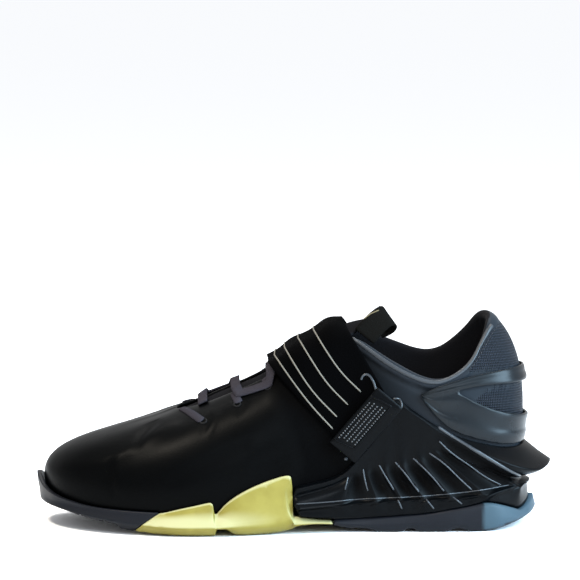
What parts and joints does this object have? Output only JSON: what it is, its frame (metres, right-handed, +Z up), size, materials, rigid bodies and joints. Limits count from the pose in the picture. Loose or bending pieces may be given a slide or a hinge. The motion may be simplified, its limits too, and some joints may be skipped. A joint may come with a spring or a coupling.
{
  "type": "weightlifting shoe",
  "caption": "Low-cut weightlifting shoe for the left foot: raised heel in a finned moulded cage, hollow upper with tongue and lace, instep strap and wrapped forefoot outsole.",
  "frame": {"origin": "middle of the shoe's box, on the floor under the sole", "axes": "+X towards the heel, -X towards the toe, -Y towards the outer (lateral) side of this left shoe, +Z up"},
  "size_m": [0.3012, 0.1134, 0.1288],
  "materials": {
    "upper_leather": "smooth, softly glossy",
    "tongue_fabric": "matte knit",
    "insole_fabric": "matte",
    "moulding": "satin",
    "black_rubber": "matte",
    "yellow_rubber": "satin",
    "lace_fabric": "matte woven",
    "strap_fabric": "matte woven, thin grey stripes",
    "webbing": "matte woven"
  },
  "bodies": {
    "root": {"upper": "upper_leather", "tongue": "tongue_fabric", "insole": "insole_fabric", "midsole_wedge": "moulding", "heel_cage": "moulding", "heel_counter": "moulding", "outsole_toe": "black_rubber", "outsole_wrap": "yellow_rubber", "outsole_heel": "black_rubber", "lace": "lace_fabric", "strap": "strap_fabric", "strap_keeper_lateral": "moulding", "strap_keeper_medial": "moulding", "pull_loop": "webbing"}
  },
  "joints": []
}
